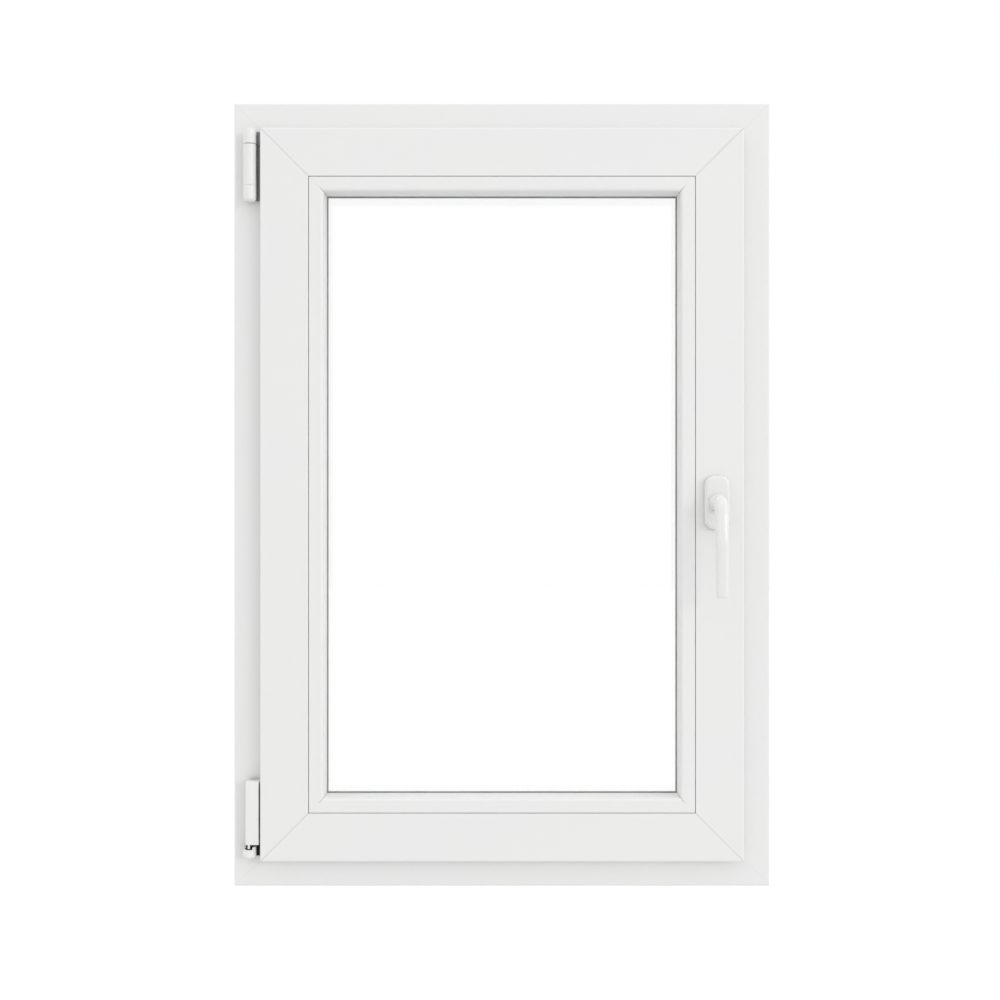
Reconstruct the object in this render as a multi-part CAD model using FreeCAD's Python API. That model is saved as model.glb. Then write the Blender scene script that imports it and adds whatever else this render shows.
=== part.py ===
"""Tilt and turn window with a white plastic frame, seen in the closed position.

One opening sash hangs in a fixed outer frame, with its hinges on the left and its
handle on the right as seen from the room. Frame and sash are hollow extrusions, cut
to mitres and welded at the corners. A sealed double pane is held in the sash by four
clipped glazing beads.

Millimetres. +X is right as seen from the room, +Y points outdoors, +Z is up. The
origin is the middle of the frame's underside. In every cross-section, u is the
distance from the frame's outer edge towards the middle of the window and y is the
depth, so frame, sash, bead and gaskets share one section drawing.
"""

import FreeCAD, Part
import math
import os

# Outer frame
frame_width = 650.0
frame_height = 950.0
frame_depth = 70.0
frame_face = 41.0
frame_stop = 20.0
frame_stop_thickness = 15.0
frame_stop_fall = 2.5
drain_channel_width = 13.0
drain_channel_depth = 5.0
clip_groove_width = 6.0
clip_groove_depth = 3.0
clip_groove_undercut = 1.0
clip_groove_offset = 15.0

# Sash
sash_projection = 20.0
sash_overlap = 6.5
sash_lip_gap = 4.0
sash_stop_gap = 5.0
sash_face = 58.0
hardware_gap = 12.0
hardware_groove_width = 16.0
hardware_groove_depth = 9.0
hardware_groove_setback = 13.0
glazing_leg = 15.5
glazing_leg_thickness = 15.0
glazing_leg_fall = 3.5

# Walls of the hollow extrusions and the welds at their corners
outer_wall = 2.8
inner_web = 1.5
edge_radius = 2.0
sash_edge_radius = 2.0
inner_edge_radius = 0.8
weld_width = 1.4
weld_depth = 0.35

# Sealed unit and glazing bead
pane_thickness = 4.0
pane_cavity = 16.0
pane_edge_clearance = 5.0
spacer_setback = 5.0
spacer_height = 7.0
glazing_gasket = 3.0
gasket_seat = 5.5
gasket_show = 2.2
gasket_nose_radius = 0.9
bead_height = 19.5
bead_flat = 17.4
bead_wall = 1.6
bead_shoulder_radius = 4.6
bead_nose = 2.6
bead_joint = 0.6
bead_joint_depth = 5.0
bead_mitre_gap = 0.12
bead_groove_width = 6.0
bead_groove_depth = 4.0
bead_groove_setback = 8.0
bead_foot_clearance = 0.3

# Weather seals between frame and sash
stop_gasket_width = 6.0
stop_gasket_setback = 0.6
lip_gasket_width = 4.0
lip_gasket_setback = 1.6
leaf_notch_clearance = 0.4

# Hinges, on one vertical axis beside the left edge of the sash
hinge_axis_gap = 13.4
barrel_diameter = 15.6
knuckle_chamfer = 1.2
stay_pin_diameter = 7.0
pin_clearance = 0.05
hinge_web_width = 6.0
hinge_web_bite = 3.0
hinge_web_clearance = 0.2
hinge_plate_width = 13.0
hinge_plate_thickness = 2.5
hinge_plate_clearance = 0.4
leaf_thickness = 3.0
leaf_reach = 14.0
knuckle_height = 18.0
knuckle_gap = 1.2
bearing_height = 49.0
bearing_seam = 0.5
top_cap_height = 18.6
top_cap_chamfer = 3.2
pin_end_cover = 5.0
pivot_lift = 3.2
pivot_height = 10.5
pivot_chamfer = 2.2
pivot_gap = 6.2
pivot_tooth_width = 3.6
pivot_tooth_height = 3.2
pivot_pin_diameter = 5.0
pivot_pin_reach = 22.0
pivot_eye_diameter = 10.4
cover_height = 75.6
cover_wall = 1.2
cover_clearance = 0.3
cover_edge_radius = 1.0
cover_gap = 1.9
cover_tooth_width = 2.6
cover_tooth_height = 4.6

# Handle
handle_drop = 9.4
handle_inset = 33.2
rosette_width = 30.0
rosette_height = 64.4
rosette_thickness = 10.5
rosette_corner_radius = 11.5
rosette_chamfer = 2.0
neck_base_diameter = 21.4
neck_front_diameter = 16.4
neck_clearance = 0.4
spigot_diameter = 14.0
spigot_length = 6.0
spigot_clearance = 0.06
lever_length = 112.0
lever_width = 17.0
lever_end_width = 14.0
lever_thickness = 12.0
lever_standoff = 43.0
lever_corner_flat = 0.4
lever_front_radius = 4.6
lever_back_chamfer = 2.6

# Drain covers on the outdoor face of the sill
drain_cap_width = 42.0
drain_cap_height = 11.0
drain_cap_depth = 5.5
drain_cap_chamfer = 1.2
drain_cap_wall = 1.4
drain_cap_corner_radius = 2.5
drain_cap_slot_width = 30.0
drain_cap_slot_height = 3.0
drain_cap_lift = 9.0
drain_cap_inset = 140.0

# Depths shared by the section drawings, from the room towards outdoors
y_frame_room = -frame_depth / 2
y_frame_out = frame_depth / 2
y_stop = y_frame_out - frame_stop_thickness
y_sash_room = y_frame_room - sash_projection
y_sash_out = y_stop - sash_stop_gap
y_lip_back = y_frame_room - sash_lip_gap
y_leg = y_sash_out - glazing_leg_thickness
y_glass_out = y_leg - glazing_gasket
y_glass_room = y_glass_out - 2 * pane_thickness - pane_cavity
y_bead_back = y_glass_room - glazing_gasket

# Distances from the frame's outer edge, towards the middle of the window
u_floor = frame_face
u_stop = u_floor + frame_stop
u_channel = u_floor - drain_channel_depth
u_lip = u_floor - sash_overlap
u_sash = u_floor + hardware_gap
u_rebate = u_lip + sash_face
u_leg = u_rebate + glazing_leg
u_pane = u_rebate + pane_edge_clearance
u_bead = u_rebate + bead_height

# Lines that the hinges and the handle are set out from
hinge_x = -frame_width / 2 + u_lip - hinge_axis_gap
hinge_y = y_sash_room + barrel_diameter / 2
z_sash_top = frame_height - u_lip
z_sash_bottom = u_lip
handle_x = frame_width / 2 - u_lip - handle_inset
handle_z = frame_height / 2 - handle_drop

SIDES = {"sill": 0.0, "jamb_left": 90.0, "head": 180.0, "jamb_right": -90.0}


def vector(x, y, z):
    return FreeCAD.Vector(x, y, z)


def section_point(u, y):
    """A point of a cross-section, drawn in the plane x = 0."""
    return vector(0, y, u)


def front_point(x, z):
    """A point of an outline drawn in the plane y = 0, as seen from the room."""
    return vector(x, 0, z)


def rounded_wire(corners, place):
    """A closed wire through (a, b, radius) corners, each rounded by a tangent arc."""
    points = [place(a, b) for a, b, _ in corners]
    radii = [radius for _, _, radius in corners]
    arcs = []
    for index, corner in enumerate(points):
        back = (points[index - 1] - corner).normalize()
        ahead = (points[(index + 1) % len(points)] - corner).normalize()
        half_angle = back.getAngle(ahead) / 2
        radius = radii[index]
        if radius == 0:
            arcs.append((corner, None, corner))
            continue
        run = radius / math.tan(half_angle)
        inward = (back + ahead).normalize()
        middle = corner + inward * (radius / math.sin(half_angle) - radius)
        arcs.append((corner + back * run, middle, corner + ahead * run))
    edges = []
    for index, (start, middle, end) in enumerate(arcs):
        if middle is not None:
            edges.append(Part.Arc(start, middle, end).toShape())
        following = arcs[(index + 1) % len(arcs)][0]
        if end.distanceToPoint(following) > 1e-6:
            edges.append(Part.LineSegment(end, following).toShape())
    return Part.Wire(edges)


def sharp(corners):
    """The same corners with no rounding."""
    return [(a, b, 0) for a, b in corners]


def chamber(u_low, u_high, y_low, y_high):
    """A rectangular hollow of an extrusion."""
    corners = [(u_low, y_low), (u_high, y_low), (u_high, y_high), (u_low, y_high)]
    return rounded_wire(sharp(corners), section_point)


def side_length(side):
    return frame_width if side in ("sill", "head") else frame_height


def stand_on_side(shape, side):
    """Turns a bar made along the sill into its place on one side of the window."""
    shape.rotate(vector(0, 0, 0), vector(0, 1, 0), SIDES[side])
    middle = frame_height / 2
    move = {
        "sill": vector(0, 0, 0),
        "head": vector(0, 0, frame_height),
        "jamb_left": vector(-frame_width / 2, 0, middle),
        "jamb_right": vector(frame_width / 2, 0, middle),
    }
    shape.translate(move[side])
    return shape


def mitred_bar(side, wires, mitre_gap=0.0):
    """An extruded bar of the given section, cut at 45 degrees at both ends."""
    face = Part.makeFace(wires, "Part::FaceMakerBullseye")
    half = side_length(side) / 2
    bar = face.extrude(vector(2 * half, 0, 0))
    bar.translate(vector(-half, 0, 0))
    box = face.BoundBox
    reach = half - mitre_gap
    low = box.ZMin - 1
    high = box.ZMax + 1
    plan = [(low - reach, low), (reach - low, low), (reach - high, high), (high - reach, high)]
    trapezium = Part.Face(rounded_wire(sharp(plan), front_point))
    trapezium.translate(vector(0, box.YMin - 1, 0))
    return bar.common(trapezium.extrude(vector(0, box.YLength + 2, 0)))


def weld_groove(side, end, face_y, into, u_from, u_to):
    """The shallow V that is left along a corner weld on one flat face, as a cutter."""
    across = vector(end, 0, 1).normalize()
    along = vector(-end, 0, 1).normalize()
    start = vector(end * (side_length(side) / 2 - u_from), face_y, u_from)
    lift = vector(0, -into * weld_depth, 0)
    base = [start + across * weld_width + lift, start - across * weld_width + lift, start - lift]
    triangle = Part.Face(Part.makePolygon(base + base[:1]))
    return triangle.extrude(along * (math.sqrt(2) * (u_to - u_from)))


def welded_bars(wires, faces):
    """The four bars of a welded frame, with the weld marked on each flat face."""
    bars = {}
    for side in SIDES:
        bar = mitred_bar(side, wires())
        grooves = [weld_groove(side, end, *face) for end in (-1, 1) for face in faces]
        bars[side] = stand_on_side(bar.cut(Part.makeCompound(grooves)), side)
    return bars


def ring(wires):
    """A continuous seal: four mitred bars joined into one solid."""
    bars = [stand_on_side(mitred_bar(side, wires()), side) for side in SIDES]
    return bars[0].multiFuse(bars[1:]).removeSplitter()


def clip_groove(centre):
    """An undercut groove along the frame's outer edge, for clip-on anchors."""
    mouth = clip_groove_width / 2
    inside = mouth + clip_groove_undercut
    return [
        (0, centre + mouth),
        (clip_groove_depth, centre + inside),
        (clip_groove_depth, centre - inside),
        (0, centre - mouth),
    ]


def frame_wires():
    """Section of the outer frame: room leg, rebate with drain channel, outer stop."""
    y_channel = y_stop - drain_channel_width
    outline = [
        (0, y_frame_room, edge_radius),
        (u_floor, y_frame_room, inner_edge_radius),
        (u_floor, y_channel, 0),
        (u_channel, y_channel + drain_channel_depth, 0),
        (u_channel, y_stop, 0),
        (u_stop, y_stop, inner_edge_radius),
        (u_stop - frame_stop_fall, y_frame_out, edge_radius),
        (0, y_frame_out, edge_radius),
    ]
    outline += sharp(clip_groove(clip_groove_offset))
    outline += sharp(clip_groove(-clip_groove_offset))
    low = clip_groove_depth + outer_wall
    room = y_frame_room + outer_wall
    leg_room = y_stop + outer_wall
    leg_out = y_frame_out - outer_wall
    split = room + (y_channel - room) / 3
    chambers = [
        chamber(low, u_floor - outer_wall, room, split - inner_web),
        chamber(low, u_floor - outer_wall, split, y_channel - outer_wall),
        chamber(low, u_channel - outer_wall, y_channel - outer_wall + inner_web, leg_room - inner_web),
        chamber(low, u_stop - frame_stop_fall - outer_wall, leg_room, leg_out),
    ]
    return [rounded_wire(outline, section_point)] + chambers


def sash_wires():
    """Section of the sash: overlapping lip, hardware groove, glazing rebate, outer leg."""
    bead_front = y_sash_room + bead_groove_setback
    bead_back = bead_front + bead_groove_width
    bead_floor = u_rebate - bead_groove_depth
    groove_room = y_lip_back + hardware_groove_setback
    groove_out = groove_room + hardware_groove_width
    groove_floor = u_sash + hardware_groove_depth
    outline = [
        (u_lip, y_sash_room, sash_edge_radius),
        (u_rebate, y_sash_room, inner_edge_radius),
        (u_rebate, bead_front, 0),
        (bead_floor, bead_front, 0),
        (bead_floor, bead_back, 0),
        (u_rebate, bead_back, 0),
        (u_rebate, y_leg, 0),
        (u_leg, y_leg, inner_edge_radius),
        (u_leg - glazing_leg_fall, y_sash_out, edge_radius),
        (u_sash, y_sash_out, edge_radius),
        (u_sash, groove_out, 0),
        (groove_floor, groove_out, 0),
        (groove_floor, groove_room, 0),
        (u_sash, groove_room, 0),
        (u_sash, y_lip_back, 0),
        (u_lip, y_lip_back, inner_edge_radius),
    ]
    room = y_sash_room + outer_wall
    lip_out = y_lip_back - outer_wall
    steel_room = lip_out + inner_web
    steel_out = groove_out + outer_wall
    out = y_sash_out - outer_wall
    floor = u_rebate - outer_wall
    leg_top = u_leg - glazing_leg_fall - outer_wall
    chambers = [
        chamber(u_lip + outer_wall, bead_floor - outer_wall, room, lip_out),
        chamber(groove_floor + outer_wall, floor, steel_room, steel_out - inner_web),
        chamber(u_sash + outer_wall, floor, steel_out, out),
        chamber(floor + inner_web, leg_top, y_leg + outer_wall, out),
    ]
    return [rounded_wire(outline, section_point)] + chambers


def bead_wires():
    """Section of the glazing bead: flat face, rounded shoulder, slope to the glass, clip foot."""
    front = u_rebate + bead_joint
    joint_end = y_sash_room + bead_joint_depth
    foot_front = y_sash_room + bead_groove_setback + bead_foot_clearance
    foot_back = foot_front + bead_groove_width - 2 * bead_foot_clearance
    foot_floor = u_rebate - bead_groove_depth + bead_foot_clearance
    nose = y_bead_back - bead_nose
    outline = [
        (front, y_sash_room, inner_edge_radius),
        (u_rebate + bead_flat, y_sash_room, bead_shoulder_radius),
        (u_bead, nose, inner_edge_radius),
        (u_bead, y_bead_back, 0),
        (u_rebate, y_bead_back, 0),
        (u_rebate, foot_back, 0),
        (foot_floor, foot_back, 0),
        (foot_floor, foot_front, 0),
        (u_rebate, foot_front, 0),
        (u_rebate, joint_end, 0),
        (front, joint_end, 0),
    ]
    low = u_rebate + bead_wall
    room = y_sash_room + bead_wall
    back = y_bead_back - bead_wall
    top = u_rebate + bead_flat - bead_shoulder_radius
    joint_room = joint_end + bead_wall
    hollow = [
        (front + bead_wall, room),
        (top, room),
        (u_bead - bead_wall - bead_nose, back),
        (low, back),
        (low, joint_room),
        (front + bead_wall, joint_room - bead_joint),
    ]
    return [rounded_wire(outline, section_point), rounded_wire(sharp(hollow), section_point)]


def seal_wires(u_low, u_high, y_room, y_out):
    """Section of a seal that fills a gap, with a rounded nose on its visible edge."""
    nose = gasket_nose_radius
    outline = [(u_low, y_room, 0), (u_high, y_room, nose), (u_high, y_out, nose), (u_low, y_out, 0)]
    return [rounded_wire(outline, section_point)]


def glazing_seal(u_edge, y_room, y_out):
    """The seal between the glass and the edge of a bead or glazing leg, showing a little past it."""
    return ring(lambda: seal_wires(u_edge - gasket_seat, u_edge + gasket_show, y_room, y_out))


def stop_seal():
    """The seal on the frame's outer stop that the sash closes against."""
    u_high = u_stop - stop_gasket_setback
    return ring(lambda: seal_wires(u_high - stop_gasket_width, u_high, y_sash_out, y_stop))


def lip_seal_wires():
    """Section of the sash's own seal, whose rounded side is towards the frame's edge."""
    low = u_lip + lip_gasket_setback
    high = low + lip_gasket_width
    nose = gasket_nose_radius
    outline = [
        (low, y_lip_back, nose),
        (high, y_lip_back, 0),
        (high, y_frame_room, 0),
        (low, y_frame_room, nose),
    ]
    return [rounded_wire(outline, section_point)]


def box_between(x_low, x_high, y_low, y_high, z_low, z_high):
    return Part.makeBox(x_high - x_low, y_high - y_low, z_high - z_low, vector(x_low, y_low, z_low))


def pane(y_low):
    """One sheet of the sealed unit."""
    half = frame_width / 2 - u_pane
    return box_between(-half, half, y_low, y_low + pane_thickness, u_pane, frame_height - u_pane)


def spacer():
    """The bar that keeps the two panes apart, as a closed rectangle."""
    y_low = y_glass_room + pane_thickness
    y_high = y_low + pane_cavity
    u_low = u_pane + spacer_setback
    u_high = u_low + spacer_height
    outer = frame_width / 2 - u_low
    inner = frame_width / 2 - u_high
    body = box_between(-outer, outer, y_low, y_high, u_low, frame_height - u_low)
    return body.cut(box_between(-inner, inner, y_low, y_high, u_high, frame_height - u_high))


def barrel(z_low, z_high, diameter=barrel_diameter):
    """A cylinder on the hinge axis."""
    return Part.makeCylinder(diameter / 2, z_high - z_low, vector(hinge_x, hinge_y, z_low))


def pin_bore(z_low, z_high, pin_diameter):
    return barrel(z_low, z_high, pin_diameter + 2 * pin_clearance)


def chamfer_at(shape, z, size):
    """Chamfers the edges of a shape that lie in one horizontal plane."""
    level = [edge for edge in shape.Edges if edge.BoundBox.ZLength < 1e-6]
    return shape.makeChamfer(size, [edge for edge in level if abs(edge.BoundBox.ZMin - z) < 1e-6])


def hinge_web(y_out, z_low, z_high, spare=0.0):
    """The steel web that holds a barrel cover, let into the back of the barrel."""
    half = hinge_web_width / 2 + spare
    y_low = hinge_y + barrel_diameter / 2 - hinge_web_bite - spare
    return box_between(hinge_x - half, hinge_x + half, y_low, y_out, z_low, z_high)


def slotted(cover, z_low, z_high):
    """A barrel cover with the slot that its web sits in."""
    return cover.cut(hinge_web(y_frame_room, z_low, z_high, hinge_web_clearance)).removeSplitter()


def frame_plate(z_low, z_high, web_low, web_high):
    """The steel plate of a hinge on the frame's room face, with its web."""
    x_low = hinge_x - hinge_plate_width / 2
    x_high = -frame_width / 2 + u_lip + lip_gasket_setback - hinge_plate_clearance
    y_low = y_frame_room - hinge_plate_thickness
    plate = box_between(x_low, x_high, y_low, y_frame_room, z_low, z_high)
    return plate.fuse(hinge_web(y_low, web_low, web_high)).removeSplitter()


def sash_strap(x_low, z_low, z_high):
    """The steel strap of a hinge behind the sash lip."""
    reach = -frame_width / 2 + u_lip + leaf_reach
    return box_between(x_low, reach, y_lip_back, y_lip_back + leaf_thickness, z_low, z_high)


def top_hinge():
    """Stay hinge: sash knuckle on its arm, frame bearing on its plate, pin and pin cap."""
    knuckle_top = z_sash_top
    knuckle_low = knuckle_top - knuckle_height
    arm_top = knuckle_top - knuckle_chamfer
    bearing_top = knuckle_low - knuckle_gap
    bearing_low = bearing_top - bearing_height
    cap_top = bearing_low - bearing_seam
    cap_low = cap_top - top_cap_height
    pin_low = cap_low + pin_end_cover
    pin_top = knuckle_top - pin_end_cover
    bore = pin_bore(pin_low, pin_top, stay_pin_diameter)
    knuckle = chamfer_at(barrel(knuckle_low, knuckle_top), knuckle_top, knuckle_chamfer)
    arm = sash_strap(hinge_x - hinge_web_width / 2, knuckle_low, arm_top)
    cap = chamfer_at(barrel(cap_low, cap_top), cap_low, top_cap_chamfer)
    return {
        "top_hinge_knuckle": slotted(knuckle.cut(bore), knuckle_low, arm_top),
        "top_hinge_arm": arm.fuse(hinge_web(y_lip_back, knuckle_low, arm_top)).removeSplitter(),
        "top_hinge_bearing": slotted(barrel(bearing_low, bearing_top).cut(bore), bearing_low, bearing_top),
        "top_hinge_plate": frame_plate(cap_low + top_cap_chamfer, bearing_top, bearing_low, bearing_top),
        "top_hinge_cap": cap.cut(bore),
        "top_hinge_pin": barrel(pin_low, pin_top, stay_pin_diameter),
    }


def bottom_hinge():
    """Corner hinge: frame bearing with its plate and pivot below, sash leaf and its cover above."""
    bearing_low = z_sash_bottom + pivot_lift
    bearing_top = bearing_low + pivot_height
    web_low = bearing_low + pivot_chamfer
    cover_low = bearing_top + pivot_gap
    cover_top = cover_low + cover_height
    leaf_low = cover_low + cover_clearance
    leaf_top = cover_top - cover_wall - cover_clearance
    pin_low = bearing_low + pin_end_cover
    pin_top = bearing_top + pivot_pin_reach
    cover_right = -frame_width / 2 + u_lip - cover_gap
    cover_left = hinge_x - pivot_pin_diameter / 2 - cover_clearance - cover_wall
    bore = pin_bore(pin_low, pin_top, pivot_pin_diameter)

    tooth_right = hinge_x + barrel_diameter / 2
    tooth = box_between(
        tooth_right - pivot_tooth_width, tooth_right, hinge_y - barrel_diameter / 2, hinge_y,
        bearing_top, bearing_top + pivot_tooth_height,
    )
    tooth = tooth.common(barrel(bearing_top, bearing_top + pivot_tooth_height))
    bearing = chamfer_at(barrel(bearing_low, bearing_top), bearing_low, pivot_chamfer)
    bearing = slotted(bearing.fuse(tooth).cut(bore), web_low, bearing_top)

    leaf_left = cover_left + cover_wall + cover_clearance
    leaf_right = cover_right - cover_wall - cover_clearance
    eye_room = box_between(leaf_left, leaf_right, y_sash_room, y_lip_back, leaf_low, leaf_top)
    eye = barrel(leaf_low, leaf_top, pivot_eye_diameter).common(eye_room)
    web = hinge_web(y_lip_back, leaf_low, leaf_top).common(eye_room)
    leaf = eye.fuse(web).fuse(sash_strap(leaf_left, leaf_low, leaf_top)).cut(bore).removeSplitter()

    cover = box_between(cover_left, cover_right, y_sash_room, y_lip_back, cover_low, cover_top)
    cover = cover.makeFillet(cover_edge_radius, edges_in_depth(cover, y_sash_room))
    hollow = box_between(
        cover_left + cover_wall, cover_right - cover_wall, y_sash_room + cover_wall, y_lip_back,
        cover_low, cover_top - cover_wall,
    )
    tooth_room = y_sash_room + cover_edge_radius
    tooth = box_between(
        hinge_x - cover_tooth_width / 2, hinge_x + cover_tooth_width / 2, tooth_room, tooth_room + cover_wall,
        cover_low - cover_tooth_height, cover_low + cover_wall,
    )
    return {
        "bottom_hinge_bearing": bearing,
        "bottom_hinge_plate": frame_plate(bearing_low, cover_low - cover_clearance, web_low, bearing_top),
        "bottom_hinge_pin": barrel(pin_low, pin_top, pivot_pin_diameter),
        "bottom_hinge_leaf": leaf,
        "bottom_hinge_cover": cover.cut(hollow).fuse(tooth).removeSplitter(),
    }


def edges_in_depth(shape, y):
    """The edges of a shape that lie in one plane parallel to the window."""
    flat = [edge for edge in shape.Edges if edge.BoundBox.YLength < 1e-6]
    return [edge for edge in flat if abs(edge.BoundBox.YMin - y) < 1e-6]


def rounded_plate(width, height, radius, centre_x, centre_z):
    """Corners of a rounded rectangle seen from the room."""
    right = centre_x + width / 2
    left = centre_x - width / 2
    top = centre_z + height / 2
    low = centre_z - height / 2
    return [(left, low, radius), (right, low, radius), (right, top, radius), (left, top, radius)]


def rosette():
    """Base plate of the handle, screwed to the sash, with the bore that the neck turns in."""
    plate = rounded_plate(rosette_width, rosette_height, rosette_corner_radius, handle_x, handle_z)
    face = Part.Face(rounded_wire(plate, front_point))
    face.translate(vector(0, y_sash_room, 0))
    body = face.extrude(vector(0, -rosette_thickness, 0))
    front = y_sash_room - rosette_thickness
    body = body.makeChamfer(rosette_chamfer, edges_in_depth(body, front))
    bore_radius = spigot_diameter / 2 + spigot_clearance
    bore_start = vector(handle_x, front + spigot_length + spigot_clearance, handle_z)
    bore = Part.makeCylinder(bore_radius, rosette_thickness, bore_start, vector(0, -1, 0))
    return body.cut(bore)


def lever_grip():
    """Flat tapering grip with round ends, rounded over in front and chamfered behind."""
    head = lever_width / 2
    end = lever_end_width / 2
    low = handle_z - lever_length
    plan = [
        (handle_x - head, handle_z + head, head - lever_corner_flat),
        (handle_x + head, handle_z + head, head - lever_corner_flat),
        (handle_x + end, low, end - lever_corner_flat),
        (handle_x - end, low, end - lever_corner_flat),
    ]
    y_back = y_sash_room - lever_standoff + lever_thickness / 2
    y_front = y_back - lever_thickness
    face = Part.Face(rounded_wire(plan, front_point))
    face.translate(vector(0, y_back, 0))
    grip = face.extrude(vector(0, -lever_thickness, 0))
    grip = grip.makeFillet(lever_front_radius, edges_in_depth(grip, y_front))
    return grip.makeChamfer(lever_back_chamfer, edges_in_depth(grip, y_back))


def lever_neck():
    """Turned neck on the handle's axis: a spigot in the base plate and a cone to the grip."""
    y_grip = y_sash_room - lever_standoff
    front = y_sash_room - rosette_thickness
    base = neck_base_diameter / 2
    top = neck_front_diameter / 2
    spigot = spigot_diameter / 2
    corners = [
        vector(top, y_grip, 0),
        vector(0, y_grip, 0),
        vector(0, front + spigot_length, 0),
        vector(spigot, front + spigot_length, 0),
        vector(spigot, front - neck_clearance, 0),
        vector(base, front - neck_clearance, 0),
    ]
    half_section = Part.Face(Part.makePolygon(corners + corners[:1]))
    neck = half_section.revolve(vector(0, 0, 0), vector(0, 1, 0), 360)
    neck.translate(vector(handle_x, 0, handle_z))
    return neck


def lever():
    """Handle lever: neck and grip in one casting."""
    return lever_grip().fuse(lever_neck()).removeSplitter()


def drain_cap(centre_x):
    """A cover over a drain slot, with chamfered edges and open at its lower edge."""
    centre_z = drain_cap_lift + drain_cap_height / 2
    plate = rounded_plate(drain_cap_width, drain_cap_height, drain_cap_corner_radius, centre_x, centre_z)
    face = Part.Face(rounded_wire(plate, front_point))
    face.translate(vector(0, y_frame_out, 0))
    body = face.extrude(vector(0, drain_cap_depth, 0))
    y_front = y_frame_out + drain_cap_depth
    body = body.makeChamfer(drain_cap_chamfer, edges_in_depth(body, y_front))
    half = drain_cap_slot_width / 2
    slot = box_between(
        centre_x - half, centre_x + half, y_frame_out, y_front - drain_cap_wall,
        drain_cap_lift, drain_cap_lift + drain_cap_slot_height,
    )
    return body.cut(slot)


def build():
    """Every piece of the window, by name."""
    pieces = {}
    frame_faces = [(y_frame_room, 1, 0, u_floor), (y_frame_out, -1, 0, u_stop)]
    for side, bar in welded_bars(frame_wires, frame_faces).items():
        pieces["frame_" + side] = bar
    sash_names = {
        "sill": "bottom_rail",
        "head": "top_rail",
        "jamb_left": "stile_left",
        "jamb_right": "stile_right",
    }
    sash_faces = [(y_sash_room, 1, u_lip, u_rebate), (y_sash_out, -1, u_sash, u_leg)]
    for side, bar in welded_bars(sash_wires, sash_faces).items():
        pieces["sash_" + sash_names[side]] = bar
    bead_names = {"sill": "bottom", "head": "top", "jamb_left": "left", "jamb_right": "right"}
    for side, name in bead_names.items():
        pieces["bead_" + name] = stand_on_side(mitred_bar(side, bead_wires(), bead_mitre_gap), side)

    pieces["glass_room_pane"] = pane(y_glass_room)
    pieces["glass_outer_pane"] = pane(y_glass_out - pane_thickness)
    pieces["glass_spacer"] = spacer()

    pieces["gasket_glass_room"] = glazing_seal(u_bead, y_bead_back, y_glass_room)
    pieces["gasket_glass_outer"] = glazing_seal(u_leg, y_glass_out, y_leg)
    pieces["gasket_frame_stop"] = stop_seal()

    pieces.update(top_hinge())
    pieces.update(bottom_hinge())
    notches = []
    for name in ("top_hinge_arm", "bottom_hinge_leaf"):
        box = pieces[name].BoundBox
        notch = box_between(
            -frame_width / 2, box.XMax, y_lip_back, box.YMax + leaf_notch_clearance,
            box.ZMin - leaf_notch_clearance, box.ZMax + leaf_notch_clearance,
        )
        notches.append(notch)
    pieces["gasket_sash_lip"] = ring(lip_seal_wires).cut(Part.makeCompound(notches))

    pieces["handle_rosette"] = rosette()
    pieces["handle_lever"] = lever()
    cap_x = frame_width / 2 - drain_cap_inset
    pieces["drain_cap_left"] = drain_cap(-cap_x)
    pieces["drain_cap_right"] = drain_cap(cap_x)
    return pieces


def main():
    os.makedirs("parts", exist_ok=True)
    for name, shape in build().items():
        print(f"{name}: valid {shape.isValid()}, solids {len(shape.Solids)}, {shape.Volume / 1000:.1f} cm3")
        shape.exportStep(f"parts/{name}.step")


main()
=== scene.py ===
import math

import bmesh
import bpy
import numpy as np
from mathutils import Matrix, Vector


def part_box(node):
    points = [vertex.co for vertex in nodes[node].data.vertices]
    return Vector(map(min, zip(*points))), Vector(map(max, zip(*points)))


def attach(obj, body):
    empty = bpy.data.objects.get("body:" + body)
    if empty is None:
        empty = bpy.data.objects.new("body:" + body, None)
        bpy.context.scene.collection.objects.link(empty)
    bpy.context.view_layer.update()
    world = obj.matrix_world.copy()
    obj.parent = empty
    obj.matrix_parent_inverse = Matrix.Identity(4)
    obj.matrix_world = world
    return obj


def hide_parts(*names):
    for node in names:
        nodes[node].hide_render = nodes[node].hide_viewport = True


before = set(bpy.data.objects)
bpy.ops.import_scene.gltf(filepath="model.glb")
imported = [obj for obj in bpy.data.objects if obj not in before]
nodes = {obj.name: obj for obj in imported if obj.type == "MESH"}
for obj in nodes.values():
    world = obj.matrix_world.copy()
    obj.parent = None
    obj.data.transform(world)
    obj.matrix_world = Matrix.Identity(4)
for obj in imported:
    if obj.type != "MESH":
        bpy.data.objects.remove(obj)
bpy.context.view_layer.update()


# Outer frame: four lengths of hollow white plastic extrusion, cut to mitres and welded at the
# corners. The die leaves faint lines along each length, and the trimmed weld is a shallow
# groove of duller plastic along the mitre; its faint grey band is partly the weld's own tone
# and partly painted shade of the groove.
frame_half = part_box("frame_sill")[1].x
frame_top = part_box("frame_head")[1].z
plastic_cool = (0.838, 0.843, 0.840, 1)
plastic_warm = (0.850, 0.849, 0.838, 1)
plastic_mottle = 8.0
plastic_grain = 1500.0
plastic_relief = 0.00003
# weld band grey: the weld's own tone plus painted shade for its groove
weld_and_groove_shade_grey = (0.60, 0.60, 0.59, 1)
weld_core = 0.0002
weld_reach = 0.0015


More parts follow.
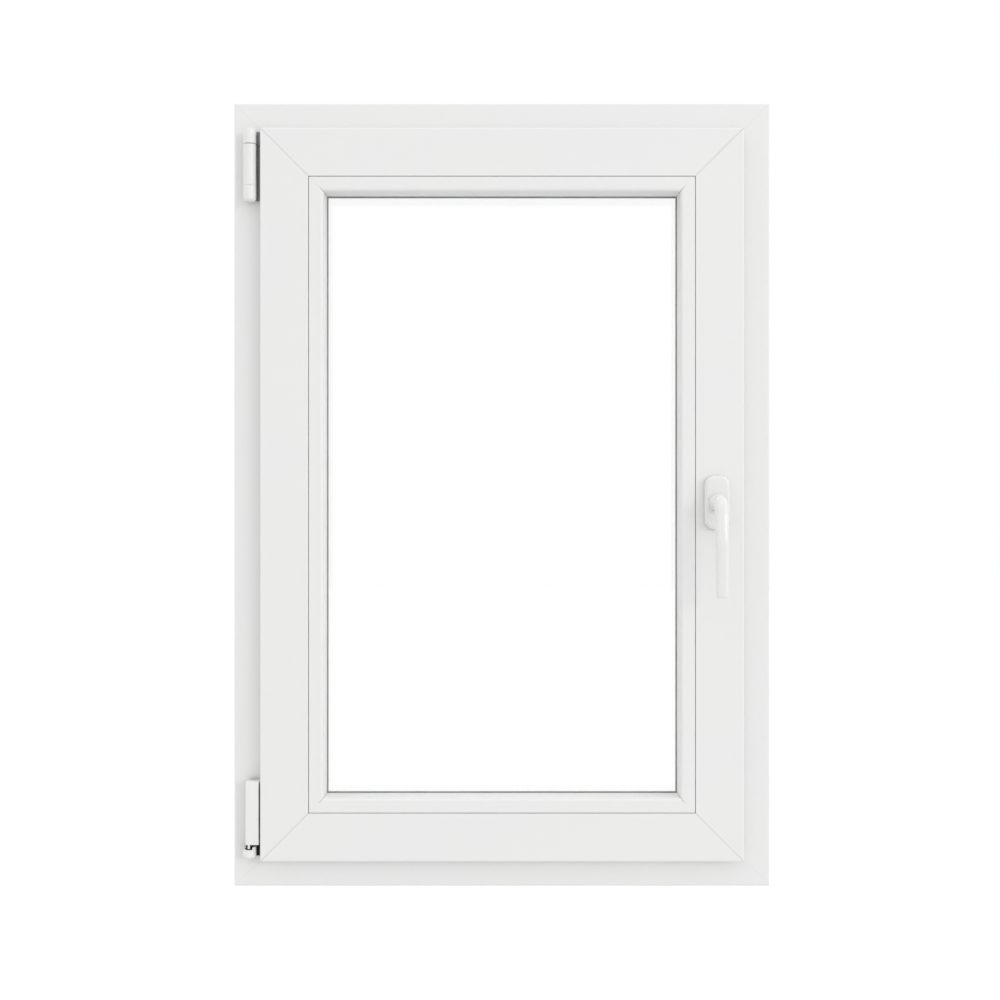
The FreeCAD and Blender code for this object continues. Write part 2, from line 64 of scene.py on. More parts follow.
class Shade:
    """One output of a material's nodes. An expression on shades adds its Math nodes."""

    def __init__(self, tree, socket=None):
        self.tree = tree
        self.socket = socket

    def node(self, kind, settings=None, inputs=None, output=0):
        """Adds a node, sets its settings and then its sockets, and gives one of its outputs."""
        made = self.tree.nodes.new(kind)
        for name, value in (settings or {}).items():
            setattr(made, name, value)
        for name, value in (inputs or {}).items():
            if isinstance(value, Shade):
                self.tree.links.new(value.socket, made.inputs[name])
            else:
                made.inputs[name].default_value = value
        return Shade(self.tree, made.outputs[output] if made.outputs else None)

    def math(self, operation, *values):
        return self.node("ShaderNodeMath", {"operation": operation}, dict(enumerate(values)))

    def __add__(self, other):
        return self.math("ADD", self, other)

    def __radd__(self, other):
        return self.math("ADD", other, self)

    def __sub__(self, other):
        return self.math("SUBTRACT", self, other)

    def __rsub__(self, other):
        return self.math("SUBTRACT", other, self)

    def __mul__(self, other):
        return self.math("MULTIPLY", self, other)

    def __rmul__(self, other):
        return self.math("MULTIPLY", other, self)

    def __abs__(self):
        return self.math("ABSOLUTE", self)

    def least(self, other):
        return self.math("MINIMUM", self, other)

    def most(self, other):
        return self.math("MAXIMUM", self, other)

    def rise(self, low, high):
        """0 below low, 1 above high and a smooth step between."""
        limits = {"Value": self, "From Min": low, "From Max": high}
        return self.node("ShaderNodeMapRange", {"interpolation_type": "SMOOTHSTEP"}, limits)

    def stretch(self, factors):
        """A vector times one factor for each axis."""
        return self.node("ShaderNodeVectorMath", {"operation": "MULTIPLY"}, {0: self, 1: factors})

    def noise(self, scale, detail):
        """Cloudy noise from 0 to 1, with about scale clouds to the metre."""
        return self.node("ShaderNodeTexNoise", None, {"Vector": self, "Scale": scale, "Detail": detail})

    def split(self):
        """The three numbers of a vector."""
        parts = self.node("ShaderNodeSeparateXYZ", None, {0: self}).socket.node
        return [Shade(self.tree, socket) for socket in parts.outputs]

    def tint(self, first, second):
        """The colour between two colours that this shade picks."""
        return self.node("ShaderNodeMix", {"data_type": "RGBA"}, {0: self, 6: first, 7: second}, 2)


def new_finish(name):
    """An empty material, and its Object coordinates to work from."""
    finish = bpy.data.materials.new(name)
    finish.use_nodes = True
    finish.node_tree.nodes.clear()
    return finish, Shade(finish.node_tree).node("ShaderNodeTexCoord", output="Object")


def coat(place, colour, roughness, relief, depth, settings=None):
    """A surface with its colour, roughness and a relief of the given depth in metres."""
    bump = place.node("ShaderNodeBump", None, {"Height": relief, "Strength": 1.0, "Distance": depth})
    inputs = {"Base Color": colour, "Roughness": roughness, "Normal": bump}
    inputs.update(settings or {})
    return place.node("ShaderNodeBsdfPrincipled", None, inputs)


def show(shader):
    """Makes a shader the one that its material shows."""
    shader.node("ShaderNodeOutputMaterial", None, {"Surface": shader})


def extruded_plastic(name, across, weld):
    """White plastic whose die lines are noise drawn out along the extrusion. The weld band is
    where the distance in from the side edge equals the distance in from the top or bottom edge,
    and weld is the share of grey in it: the weld's own duller tone with painted shade of its groove."""
    finish, place = new_finish(name)
    die_lines = place.stretch(across).noise(1.0, 3.0)
    mottle = place.noise(plastic_mottle, 2.0)
    grain = place.noise(plastic_grain, 1.0)
    colour = (0.7 * mottle + 0.3 * die_lines).rise(0.3, 0.7).tint(plastic_cool, plastic_warm)
    roughness = 0.36 + 0.10 * die_lines + 0.06 * mottle
    relief = die_lines + 0.5 * grain
    if weld:
        x, _, z = place.split()
        from_mitre = abs(frame_half - abs(x) - z.least(frame_top - z))
        # painted shade: grey laid along the mitre darkens the weld groove, over the weld's own tone
        weld_seam_and_shade = weld * (1 - from_mitre.rise(weld_core, weld_reach))
        colour = weld_seam_and_shade.tint(colour, weld_and_groove_shade_grey)
        roughness = roughness + 0.2 * weld_seam_and_shade
    show(coat(place, colour, roughness, relief, plastic_relief))
    return finish


def dress(finish, *names):
    """Gives a CAD node's own solid its finish."""
    for name in names:
        for holder in nodes[name].material_slots:
            holder.material = finish


lines_level = (2.0, 800.0, 800.0)
lines_upright = (800.0, 800.0, 2.0)
frame_weld = 0.06
frame_level = extruded_plastic("white_frame_level", lines_level, frame_weld)
frame_upright = extruded_plastic("white_frame_upright", lines_upright, frame_weld)
dress(frame_level, "frame_sill", "frame_head")
dress(frame_upright, "frame_jamb_left", "frame_jamb_right")


# Drain covers: two small moulded caps of white plastic, pressed over the drain slots on the
# outdoor face of the sill, with the fine matt grain of their mould.
cap_white = (0.848, 0.848, 0.842, 1)
cap_shade = (0.828, 0.830, 0.826, 1)
cap_grain = 2600.0
cap_cloud = 60.0
cap_relief = 0.00002


def moulded_plastic(name):
    """White moulded plastic: a fine even grain in relief and gloss, with slow cloudy tone."""
    finish, place = new_finish(name)
    grain = place.noise(cap_grain, 2.0)
    cloud = place.noise(cap_cloud, 2.0)
    colour = (0.8 * cloud + 0.2 * grain).rise(0.35, 0.65).tint(cap_white, cap_shade)
    show(coat(place, colour, 0.34 + 0.14 * grain, grain, cap_relief))
    return finish


moulded_white = moulded_plastic("white_moulded_plastic")
dress(moulded_white, "drain_cap_left", "drain_cap_right")


# Weather seals: one soft grey seal pushed into the frame's outer stop and one under the sash
# lip, both extruded in one length and joined at a corner, dull and slightly dusty.
seal_grey = (0.235, 0.240, 0.240, 1)
seal_dust = (0.300, 0.302, 0.298, 1)
seal_grain = 3000.0
seal_bloom = 25.0
seal_relief = 0.00004


def soft_seal(name):
    """Grey seal material: a fine dull grain, with a paler bloom in slow patches."""
    finish, place = new_finish(name)
    grain = place.noise(seal_grain, 2.0)
    bloom = place.noise(seal_bloom, 3.0).rise(0.4, 0.7)
    colour = (0.6 * bloom + 0.4 * grain).tint(seal_grey, seal_dust)
    show(coat(place, colour, 0.62 + 0.2 * grain, grain, seal_relief))
    return finish


grey_seal = soft_seal("grey_seal")
dress(grey_seal, "gasket_frame_stop", "gasket_sash_lip")


# Sash: four hollow white extrusions of the same plastic, mitred and welded as the frame is,
# standing proud of it on the room side. Their weld is scraped flat, and its grey band, the
# weld's own tone with painted shade of the groove, is laid on much stronger than the frame's.
sash_weld = 0.62
sash_level = extruded_plastic("white_sash_level", lines_level, sash_weld)
sash_upright = extruded_plastic("white_sash_upright", lines_upright, sash_weld)
dress(sash_level, "sash_bottom_rail", "sash_top_rail")
dress(sash_upright, "sash_stile_left", "sash_stile_right")


# Sealed unit: two panes of clear float glass held apart by an aluminium spacer bar. The glass
# is a touch green where its cut edge shows; the bar has a row of breathing slits, coloured
# near-black as painted shade inside them.
glass_low, glass_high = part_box("glass_room_pane")
clear_tint = (0.997, 0.999, 0.998, 1)
edge_tint = (0.72, 0.86, 0.80, 1)
edge_core = 0.0002
edge_reach = 0.002
lamp_tint = (0.99, 0.995, 0.992, 1)
float_waves = (9.0, 1.0, 3.0)
float_relief = 0.00002
float_haze = 0.012
float_index = 1.5
spacer_bright = (0.72, 0.73, 0.74, 1)
spacer_dull = (0.55, 0.56, 0.57, 1)
spacer_rolling = (60.0, 4000.0, 60.0)
spacer_relief = 0.00005
# painted shade: near-black for the dark inside of each slit
slit_painted_shade_black = (0.05, 0.05, 0.05, 1)
slits_per_metre = 167.0
slit_ends = (0.16, 0.22)
slit_edges = (0.0006, 0.0011)
slit_middle_y = 0.5 * (glass_low.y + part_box("glass_outer_pane")[1].y)


def float_glass(name):
    """Clear glass that lets lamps through, tinted within 2 mm of its cut edges, with the very
    slow waves of the float line in its surface."""
    finish, place = new_finish(name)
    x, _, z = place.split()
    from_edge = (glass_high.x - abs(x)).least((z - glass_low.z).least(glass_high.z - z))
    colour = from_edge.rise(edge_core, edge_reach).tint(edge_tint, clear_tint)
    waves = place.stretch(float_waves).noise(1.0, 1.0)
    settings = {"Transmission Weight": 1.0, "IOR": float_index}
    glass = coat(place, colour, float_haze * waves, waves, float_relief, settings)
    path = place.node("ShaderNodeLightPath").socket.node
    shadow = Shade(place.tree, path.outputs["Is Shadow Ray"])
    soft_light = Shade(place.tree, path.outputs["Is Diffuse Ray"])
    open_way = place.node("ShaderNodeBsdfTransparent", None, {"Color": lamp_tint})
    show(place.node("ShaderNodeMixShader", None, {0: shadow.most(soft_light), 1: glass, 2: open_way}))
    return finish


def spacer_metal(name):
    """Rolled aluminium: fine rolling lines along the bar, and a slit every 6 mm painted near-black
    as the shade inside it, whose ends are shares of that step and whose edges are distances
    from the bar's middle."""
    finish, place = new_finish(name)
    rolling = place.stretch(spacer_rolling).noise(1.0, 2.0)
    x, y, z = place.split()
    along = abs(place.math("FRACT", (x + z) * slits_per_metre) - 0.5)
    across = abs(y - slit_middle_y)
    slit = (1 - along.rise(*slit_ends)) * (1 - across.rise(*slit_edges))
    # painted shade: the slits are coloured near-black instead of being cut as holes
    colour = slit.tint(rolling.tint(spacer_dull, spacer_bright), slit_painted_shade_black)
    roughness = 0.30 + 0.2 * rolling
    show(coat(place, colour, roughness, rolling - slit, spacer_relief, {"Metallic": 1.0}))
    return finish


dress(float_glass("clear_glass"), "glass_room_pane", "glass_outer_pane")
dress(spacer_metal("spacer_bar_metal"), "glass_spacer")


# Glazing seals: the grey seals that show as a thin line between glass and bead, and outdoors
# between glass and glazing leg. Each is one soft extrusion with a rounded lip, pushed in round
# the pane and cut to mitres at the corners.
room_seal_width = 0.0072
outer_seal_width = 0.0057
seal_lip = 0.0008
seal_rounds = [0.0003, 0.0012, 0.0004, 0.0003]
seal_round_steps = 8
round_lead = 0.0002
sharp_angle = math.radians(32)


def rounded_line(corners, radii, steps):
    """An open line through corners. At each inner corner an arc of the given radius touches
    both sides; its points are a spherical mix of the directions to the two touching points, and
    one more point lies just outside each end of it, so that the flats stay flat when shaded."""
    corners = np.asarray(corners, float)
    parts = [corners[:1]]
    for before, corner, after, radius in zip(corners, corners[1:], corners[2:], radii):
        back = (before - corner) / np.linalg.norm(before - corner)
        ahead = (after - corner) / np.linalg.norm(after - corner)
        half = np.arccos(np.clip(back @ ahead, -1, 1)) / 2
        run = radius / np.tan(half)
        middle = corner + (back + ahead) / np.linalg.norm(back + ahead) * radius / np.sin(half)
        first = (corner + back * run - middle) / radius
        last = (corner + ahead * run - middle) / radius
        sweep = np.pi - 2 * half
        share = np.linspace(0, 1, steps)[:, None]
        way = np.sin((1 - share) * sweep) * first + np.sin(share * sweep) * last
        arc = middle + radius * way / np.sin(sweep)
        parts += [corner + back * (run + round_lead), arc, corner + ahead * (run + round_lead)]
    parts.append(corners[-1:])
    return np.concatenate([np.atleast_2d(part) for part in parts])


def seal_rings(node, width, room_side):
    """The lip's section as (inward distance, depth), with rounded corners, stands on the mitre at
    each of the pane's four corners."""
    low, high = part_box(node)
    start = frame_half - high.x
    front, glass = (low.y, high.y) if room_side else (high.y, low.y)
    corners = [
        (start, (front + glass) / 2),
        (start, front),
        (start + width - seal_lip, front),
        (start + width, glass),
        (start, glass),
        (start, (front + glass) / 2),
    ]
    inward, depth = rounded_line(corners, seal_rounds, seal_round_steps)[:-1].T
    x = np.array([-1, 1, 1, -1])[:, None] * (frame_half - inward)
    z = frame_top / 2 + np.array([-1, -1, 1, 1])[:, None] * (frame_top / 2 - inward)
    return np.stack([x, np.broadcast_to(depth, x.shape), z], -1)


def loop_skin(rings):
    """Points and faces over rings that are each joined to the next, and the last to the first."""
    here = np.arange(rings.shape[0] * rings.shape[1]).reshape(rings.shape[:2])
    ahead = np.roll(here, -1, 0)
    faces = np.stack([here, np.roll(here, -1, 1), np.roll(ahead, -1, 1), ahead], -1)
    return rings.reshape(-1, 3), faces.reshape(-1, 4).tolist()


def make_piece(name, skin, finish, body, stands_for):
    """One piece from the points and faces of a closed skin, smooth but for its sharp corners."""
    points, faces = skin
    mesh = bpy.data.meshes.new(name)
    mesh.from_pydata(points.tolist(), [], faces)
    shell = bmesh.new()
    shell.from_mesh(mesh)
    bmesh.ops.recalc_face_normals(shell, faces=shell.faces)
    shell.to_mesh(mesh)
    shell.free()
    mesh.shade_smooth()
    mesh.set_sharp_from_angle(angle=sharp_angle)
    mesh.materials.append(finish)
    piece = bpy.data.objects.new(name, mesh)
    bpy.context.scene.collection.objects.link(piece)
    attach(piece, body)
    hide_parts(stands_for)


room_lip = loop_skin(seal_rings("gasket_glass_room", room_seal_width, True))
outer_lip = loop_skin(seal_rings("gasket_glass_outer", outer_seal_width, False))
make_piece("glazing_seal_room", room_lip, grey_seal, "window", "gasket_glass_room")
make_piece("glazing_seal_outer", outer_lip, grey_seal, "window", "gasket_glass_outer")


# Glazing beads: four clipped lengths of white extrusion that hold the glass from the room side.
# The face is flush with the sash, then rolls over on a long curve to the glass; the ends are
# cut to mitres and only meet, with no weld, so a fine crease shows where they roll over.
bead_line = 0.0925
bead_joint = 0.0007
bead_joint_depth = 0.005
bead_flat = 0.0179
bead_height = 0.0195
bead_edge = 0.0008
bead_shoulder = 0.0036
bead_nose = 0.0026
bead_corner = 0.0001
bead_round_steps = 16
bead_mitre_gap = 0.00003
bead_mitre_open = 0.00022
bead_mitre_closed = 0.0118
bead_mitre_opening = 0.0026
bead_face_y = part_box("bead_bottom")[0].y
bead_back_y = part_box("bead_bottom")[1].y


def bead_section():
    """The bead's section as (inward distance, depth): joint, flush face, round shoulder, then a
    steep side down to the nose on the seal. One more point on the face is where the mitres
    start to open."""
    joint_floor = bead_face_y + bead_joint_depth
    corners = [
        (bead_line, bead_back_y),
        (bead_line, joint_floor),
        (bead_line + bead_joint, joint_floor),
        (bead_line + bead_joint, bead_face_y),
        (bead_line + bead_flat, bead_face_y),
        (bead_line + bead_height, bead_back_y - bead_nose),
        (bead_line + bead_height, bead_back_y),
    ]
    radii = [bead_corner, bead_corner, bead_edge, bead_shoulder, bead_nose / 2]
    line = rounded_line(corners, radii, bead_round_steps)
    closed_to = bead_line + bead_mitre_closed
    return np.insert(line, np.searchsorted(line[:, 0], closed_to), (closed_to, bead_face_y), axis=0)


def closed_skin(rings):
    """Points and faces over a stack of rings (count, around, 3), each joined to the next, with
    a fan from each end ring to its middle point."""
    count, around = rings.shape[:2]
    points = np.concatenate([rings.reshape(-1, 3), rings[[0, -1]].mean(1)])
    here = np.arange(around)
    there = (here + 1) % around
    row = np.arange(count - 1)[:, None] * around
    sides = np.stack([row + here, row + there, row + around + there, row + around + here], -1)
    last = (count - 1) * around
    first_fan = np.stack([there, here, np.full(around, count * around)], -1)
    last_fan = np.stack([last + here, last + there, np.full(around, count * around + 1)], -1)
    return points, sides.reshape(-1, 4).tolist() + first_fan.tolist() + last_fan.tolist()


def bead_rings(side):
    """The section carried along one side of the window. Both ends lie on the mitre, where the
    distance to the corner equals the inward distance, but stop short of it by a hair that
    widens evenly up to the rounded part."""
    inward, depth = bead_section().T
    opened = np.clip((inward - bead_line - bead_mitre_closed) / bead_mitre_opening, 0, 1)
    gap = bead_mitre_gap + bead_mitre_open * opened
    ends = np.array([-1.0, 1.0])[:, None]
    level = side in ("bottom", "top")
    half_length = frame_half if level else frame_top / 2
    along = ends * (half_length - gap - inward)
    depth = np.broadcast_to(depth, along.shape)
    inward = np.broadcast_to(inward, along.shape)
    if side == "bottom":
        return np.stack([along, depth, inward], -1)
    if side == "top":
        return np.stack([along, depth, frame_top - inward], -1)
    upright = along + frame_top / 2
    across = inward - frame_half
    return np.stack([across if side == "left" else -across, depth, upright], -1)


bead_level = extruded_plastic("white_bead_level", lines_level, 0)
bead_upright = extruded_plastic("white_bead_upright", lines_upright, 0)
for side in ("bottom", "top", "left", "right"):
    bead_finish = bead_level if side in ("bottom", "top") else bead_upright
    bead = closed_skin(bead_rings(side))
    make_piece("glazing_bead_" + side, bead, bead_finish, "window", "bead_" + side)


# Top hinge: a steel arm and plate carry a pin, and three white moulded sleeves hide it: the
# sash's knuckle above, the frame's long bearing, and a round-ended cap below. The steel is
# given a dark colour as painted shade, so the gap beside the sleeves shows dark.
# painted shade: both steel tones are dark so the gap beside the sleeves shows dark
gap_shade_steel_grey = (0.20, 0.20, 0.205, 1)
gap_shade_steel_pale = (0.34, 0.34, 0.345, 1)
steel_crystals = 420.0
steel_drawing = (1800.0, 1800.0, 90.0)
steel_relief = 0.00003
sleeve_bore = 0.2
turned_steps = 96
turned_round_steps = 12


def steel_dark_painted_shade(name):
    """Plated steel kept dark as painted shade of the hinge gap: small crystal patches in tone
    and gloss, with fine drawing lines.
    """
    finish, place = new_finish(name)
    cells = {"Vector": place, "Scale": steel_crystals}
    tone = place.node("ShaderNodeTexVoronoi", None, cells, "Color").split()[0]
    lines = place.stretch(steel_drawing).noise(1.0, 2.0)
    colour = (0.6 * tone + 0.4 * lines).tint(gap_shade_steel_grey, gap_shade_steel_pale)
    show(coat(place, colour, 0.36 + 0.2 * tone, lines, steel_relief, {"Metallic": 1.0}))
    return finish


def turned_rings(line, radii, axis_x, axis_y):
    """A (radius, height) line with rounded corners, turned about an upright axis: x and y are the
    axis plus radius times cosine and sine of the angle."""
    radius, height = rounded_line(line, radii, turned_round_steps).T[:, :, None]
    angle = np.linspace(0, 2 * np.pi, turned_steps, endpoint=False)
    x = axis_x + radius * np.cos(angle)
    y = axis_y + radius * np.sin(angle)
    return np.stack([x, y, np.broadcast_to(height, x.shape)], -1)


def sleeve_rings(node, low_round, high_round, lift):
    """A round sleeve over the node's height, raised by lift towards the next one, with its lower
    and upper rim rounded."""
    low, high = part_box(node)
    outer = (high.x - low.x) / 2
    inner = sleeve_bore * outer
    top = high.z + lift
    line = [(inner, low.z), (outer, low.z), (outer, top), (inner, top)]
    return turned_rings(line, [low_round, high_round], low.x + outer, low.y + outer)


for node, low_round, high_round, lift in (
    ("top_hinge_knuckle", 0.0002, 0.0018, 0),
    ("top_hinge_bearing", 0.0001, 0.0002, 0.0003),
    ("top_hinge_cap", 0.0042, 0.0001, 0.0003),
):
    sleeve = closed_skin(sleeve_rings(node, low_round, high_round, lift))
    make_piece(node + "_sleeve", sleeve, moulded_white, "window", node)

gap_shade_steel = steel_dark_painted_shade("steel_dark_painted_shade")
dress(gap_shade_steel, "top_hinge_arm", "top_hinge_plate", "top_hinge_pin")


# Bottom hinge: a short bearing on the frame carries the pivot, a turned pin with a wide collar;
# above it the sash's leaf is hidden by a flat moulded cover with a small tooth below. The steel
# is oiled, and painted near-black as painted shade, so the gap under the cover shows as a dark cavity.
# painted shade: near-black steel tones make the gaps round the cover read as deep shade; the paler one
# is rubbed wear
cavity_shade_black = (0.010, 0.010, 0.011, 1)
cavity_shade_black_worn = (0.035, 0.035, 0.036, 1)
black_grain = 2200.0
black_rub = 160.0
black_relief = 0.00002
black_shine = 0.25
collar_height = 0.0055
collar_setback = 0.0021
collar_thickness = 0.0006
pivot_core = 0.2
pivot_rounds = [0.0003, 0.0001, 0.0002, 0.0002, 0.0004, 0.0005]


def near_black_painted_shade_steel(name):
    """Oiled steel painted near-black as shade in the hinge cavity: a fine grain, with slightly
    paler rubbed patches that are smoother.
    """
    finish, place = new_finish(name)
    grain = place.noise(black_grain, 2.0)
    rubbed = place.noise(black_rub, 3.0).rise(0.5, 0.75)
    colour = (0.7 * rubbed + 0.3 * grain).tint(cavity_shade_black, cavity_shade_black_worn)
    settings = {"Specular IOR Level": black_shine}
    show(coat(place, colour, 0.62 - 0.15 * rubbed, grain, black_relief, settings))
    return finish


def pivot_rings():
    """The pin's outline with its collar, as (radius, height), turned about the pin's axis."""
    low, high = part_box("bottom_hinge_pin")
    bearing_low, bearing_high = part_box("bottom_hinge_bearing")
    pin = (high.x - low.x) / 2
    collar = (bearing_high.x - bearing_low.x) / 2 - collar_setback
    seat = low.z + collar_height
    line = [
        (pivot_core * pin, low.z),
        (pin, low.z),
        (pin, seat),
        (collar, seat),
        (collar, seat + collar_thickness),
        (pin, seat + collar_thickness),
        (pin, high.z),
        (pivot_core * pin, high.z),
    ]
    return turned_rings(line, pivot_rounds, low.x + pin, low.y + pin)


cavity_shade_steel = near_black_painted_shade_steel("near_black_painted_shade_steel")
pivot = closed_skin(pivot_rings())
make_piece("bottom_hinge_pivot", pivot, cavity_shade_steel, "window", "bottom_hinge_pin")
dress(cavity_shade_steel, "bottom_hinge_plate", "bottom_hinge_leaf")
dress(moulded_white, "bottom_hinge_bearing", "bottom_hinge_cover")


# Handle base plate: a cast plate with round corners and a softly rounded front edge, powder
# coated white. It stands on a slightly smaller foot, so a thin shadow line shows round it.
plate_corner = 0.0115
plate_edge = 0.0040
plate_edge_depth = 0.0050
foot_setback = 0.0015
foot_height = 0.0010
plate_round_steps = 14
side_lead = 0.0003
front_lead = 0.0004
coat_white = (0.828, 0.827, 0.814, 1)
coat_shade = (0.814, 0.814, 0.804, 1)
coat_peel = 1100.0
coat_cloud = 45.0
coat_relief = 0.00004


def powder_coat(name):
    """White powder coat: the rounded bumps of the sprayed film, glossy on top of them."""
    finish, place = new_finish(name)
    peel = place.noise(coat_peel, 1.0)
    cloud = place.noise(coat_cloud, 2.0)
    colour = (0.7 * cloud + 0.3 * peel).rise(0.3, 0.7).tint(coat_shade, coat_white)
    show(coat(place, colour, 0.11 + 0.05 * peel, peel, coat_relief))
    return finish


def plate_rings():
    """Rounded rectangles stacked from the foot to the front. Each is four quarter circles about
    fixed centres, and the edge, a quarter ellipse, takes the same amount off every radius. One
    more of them lies just behind the edge and one just inside it, as on the other rounded lines."""
    low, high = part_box("handle_rosette")
    middle = (low + high) / 2
    turn = np.linspace(0, np.pi / 2, plate_round_steps)
    angle = np.concatenate([turn + quarter * np.pi / 2 for quarter in range(4)])
    side_x = np.repeat([1, -1, -1, 1], plate_round_steps) * ((high.x - low.x) / 2 - plate_corner)
    side_z = np.repeat([1, 1, -1, -1], plate_round_steps) * ((high.z - low.z) / 2 - plate_corner)
    foot = high.y - foot_height
    edge_inset = plate_edge * (1 - np.cos(turn))
    edge_y = low.y + plate_edge_depth * (1 - np.sin(turn))
    foot_inset = [foot_setback, foot_setback, 0, 0]
    foot_y = [high.y, foot, foot, edge_y[0] + side_lead]
    inset = np.concatenate([foot_inset, edge_inset, [plate_edge + front_lead]])[:, None]
    depth = np.concatenate([foot_y, edge_y, [low.y]])[:, None]
    x = middle.x + side_x + (plate_corner - inset) * np.cos(angle)
    z = middle.z + side_z + (plate_corner - inset) * np.sin(angle)
    return np.stack([x, np.broadcast_to(depth, x.shape), z], -1)


powder_white = powder_coat("white_powder_coat")
base_plate = closed_skin(plate_rings())
make_piece("handle_base_plate", base_plate, powder_white, "window", "handle_rosette")


# Handle lever: one casting, powder coated like the plate. A flared neck comes straight out of
# the plate, bends down and flattens into a slim tapering grip with a squared-off end.
lever_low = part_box("handle_lever")[0]
plate_low, plate_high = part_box("handle_rosette")
lever_x = (plate_low.x + plate_high.x) / 2
lever_z = (plate_low.z + plate_high.z) / 2
neck_clearance = 0.0004
neck_foot_y = plate_low.y - neck_clearance
neck_radius = 0.0079
neck_flare = 0.0028
neck_flare_length = 0.010
lever_bend = 0.011
grip_lean = 0.006
grip_lean_length = 0.046
grip_lean_round = 0.080
grip_half_width = 0.0085
grip_end_half_width = 0.0070
grip_half_thickness = 0.0060
grip_end_half_thickness = 0.0048
grip_end_round = 0.0050
grip_end_power = 3.5
grip_end_last = 0.496 * np.pi
grip_end_rows = 18
grip_squareness = 0.5
flatten_from = 0.75
flatten_over = 2.6
lever_round_steps = 40
lever_rows = 150
lever_around = 72


def lever_rings():
    """The centre line runs to the room, turns down on an arc, leans out a little and follows the
    grip. On it stand superellipses |x/a|^p + |n/b|^p = 1: a circle with a bell-shaped flare at
    the foot, eased by a smooth step into the wide flat grip, whose squared-off end closes as a
    quarter of such a curve."""
    grip_y = lever_low.y + grip_half_thickness
    corners = [
        (neck_foot_y, lever_z),
        (grip_y + grip_lean, lever_z),
        (grip_y, lever_z - grip_lean_length),
        (grip_y, lever_low.z),
    ]
    line = rounded_line(corners, [lever_bend, grip_lean_round], lever_round_steps)
    run = np.concatenate([[0], np.cumsum(np.linalg.norm(np.diff(line, axis=0), axis=1))])
    total = run[-1]
    closing = np.sin(np.linspace(0, grip_end_last, grip_end_rows))
    closing = total - grip_end_round + grip_end_round * closing
    at = np.concatenate([np.linspace(0, total - grip_end_round, lever_rows), closing[1:]])
    y = np.interp(at, run, line[:, 0])
    z = np.interp(at, run, line[:, 1])
    length = np.hypot(np.gradient(y, at), np.gradient(z, at))
    along_y = np.gradient(y, at) / length
    along_z = np.gradient(z, at) / length
    straight = abs(neck_foot_y - grip_y) - grip_lean - lever_bend
    ease = np.clip((at - straight * flatten_from) / (lever_bend * flatten_over), 0, 1)
    ease = ease * ease * (3 - 2 * ease)
    share = np.clip((at - straight) / (total - straight), 0, 1)
    neck = neck_radius + neck_flare * np.exp(-((at / neck_flare_length) ** 2))
    width = grip_half_width + (grip_end_half_width - grip_half_width) * share
    thickness = grip_half_thickness + (grip_end_half_thickness - grip_half_thickness) * share
    closed = np.clip((at - total + grip_end_round) / grip_end_round, 0, 1)
    close = (1 - closed ** grip_end_power) ** (1 / grip_end_power)
    a = (neck + (width - neck) * ease) * close
    b = (neck + (thickness - neck) * ease) * close
    power = 2 / (2 + grip_squareness * ease)
    angle = np.linspace(0, 2 * np.pi, lever_around, endpoint=False)
    across = a[:, None] * np.sign(np.cos(angle)) * np.abs(np.cos(angle)) ** power[:, None]
    out = b[:, None] * np.sign(np.sin(angle)) * np.abs(np.sin(angle)) ** power[:, None]
    return np.stack([
        lever_x + across,
        y[:, None] - out * along_z[:, None],
        z[:, None] + out * along_y[:, None],
    ], -1)


lever = closed_skin(lever_rings())
make_piece("handle_lever_casting", lever, powder_white, "handle", "handle_lever")


# Studio: a pale floor at the height a room's floor has below such a window, a white room all
# round that is brighter above and at its sides, and one wide, low, soft lamp on the right.
floor_z = -0.9
floor_half = 20.0
floor_white = (0.725, 0.725, 0.725, 1)
floor_roughness = 0.9
floor_grain = 40.0
floor_relief = 0.0001
floor_glow_strength = 1.12
floor_glow_share = 0.75
room_light = 0.636
room_rim = 0.42
room_sides = 0.10
room_from_above = 0.25
lamp_power = 300.0
lamp_width = 8.0
lamp_height = 3.2
lamp_way = Vector((0.68, -0.66, 0.22))
lamp_distance = 14.0
lamp_aim = Vector((0, -0.05, frame_top / 2))


def seen_directly(place):
    """1 for rays that show the background: straight to the camera, mirrored or through glass."""
    path = place.node("ShaderNodeLightPath").socket.node
    camera, glossy, through = (
        Shade(place.tree, path.outputs[name])
        for name in ("Is Camera Ray", "Is Glossy Ray", "Is Transmission Ray")
    )
    return camera.most(glossy).most(through)


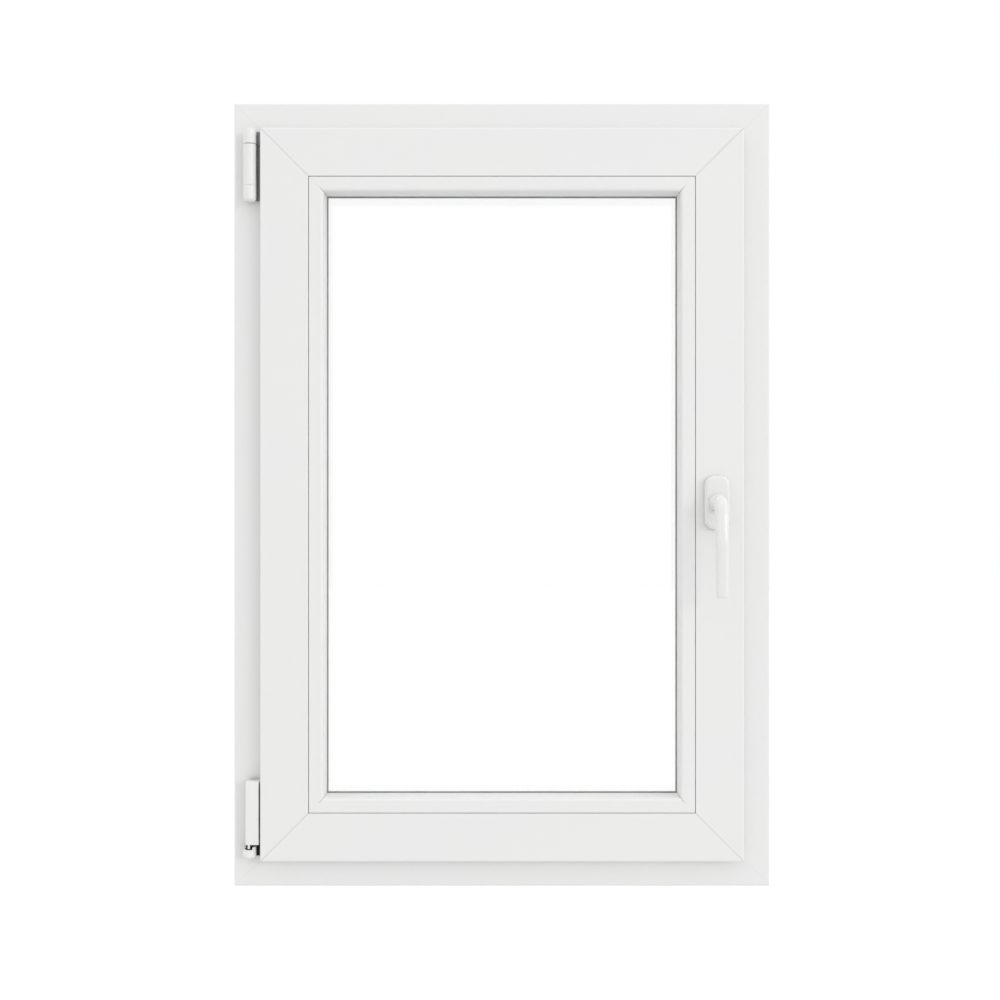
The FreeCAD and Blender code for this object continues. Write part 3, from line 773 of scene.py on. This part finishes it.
floor_mesh = bpy.data.meshes.new("studio_floor")
floor_plan = np.array([(-1, -1), (1, -1), (1, 1), (-1, 1)]) * floor_half
floor_mesh.from_pydata(np.column_stack([floor_plan, np.full(4, floor_z)]).tolist(), [], [(0, 1, 2, 3)])
floor_finish, floor_place = new_finish("pale_floor")
floor_noise = floor_place.noise(floor_grain, 2.0)
floor_shader = coat(floor_place, floor_white, floor_roughness, floor_noise, floor_relief)
floor_glow = floor_place.node("ShaderNodeEmission", None, {"Strength": floor_glow_strength})
floor_share = floor_glow_share * seen_directly(floor_place)
show(floor_place.node("ShaderNodeMixShader", None, {0: floor_share, 1: floor_shader, 2: floor_glow}))
floor_mesh.materials.append(floor_finish)
floor = bpy.data.objects.new("studio_floor", floor_mesh)
bpy.context.scene.collection.objects.link(floor)

world = bpy.data.worlds.new("white_room")
world.use_nodes = True
world.node_tree.nodes.clear()
room = Shade(world.node_tree)
right, front, up = room.node("ShaderNodeTexCoord", output="Generated").split()
lit = room_light + room_rim * (1 - abs(front)) + room_sides * abs(right) + room_from_above * up
seen = seen_directly(room)
room_strength = lit + (1 - lit) * seen
room_white = room.node("ShaderNodeBackground", None, {"Color": (1, 1, 1, 1), "Strength": room_strength})
room.node("ShaderNodeOutputWorld", None, {"Surface": room_white})
bpy.context.scene.world = world

lamp = bpy.data.lights.new("soft_lamp", "AREA")
lamp.shape = "RECTANGLE"
lamp.size = lamp_width
lamp.size_y = lamp_height
lamp.energy = lamp_power
lamp_holder = bpy.data.objects.new("soft_lamp", lamp)
lamp_holder.location = lamp_aim + lamp_way.normalized() * lamp_distance
lamp_holder.rotation_euler = (-lamp_way).to_track_quat("-Z", "Y").to_euler()
bpy.context.scene.collection.objects.link(lamp_holder)


# Camera: level and square to the window from the room, 1.7 m from the frame's face, so that a
# pixel of the 1000 x 1000 picture is 1.2138 mm there.
camera_distance = 1.7
camera_x = -0.00237
camera_z = 0.4686
picture_width = 1.2138
sensor_width = 36.0
camera = bpy.data.cameras.new("camera")
camera.sensor_width = sensor_width
camera.lens = sensor_width * camera_distance / picture_width
camera_holder = bpy.data.objects.new("camera", camera)
camera_holder.location = (camera_x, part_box("frame_sill")[0].y - camera_distance, camera_z)
camera_holder.rotation_euler = (math.pi / 2, 0, 0)
bpy.context.scene.collection.objects.link(camera_holder)
bpy.context.scene.camera = camera_holder
bpy.context.scene.view_settings.view_transform = "Standard"
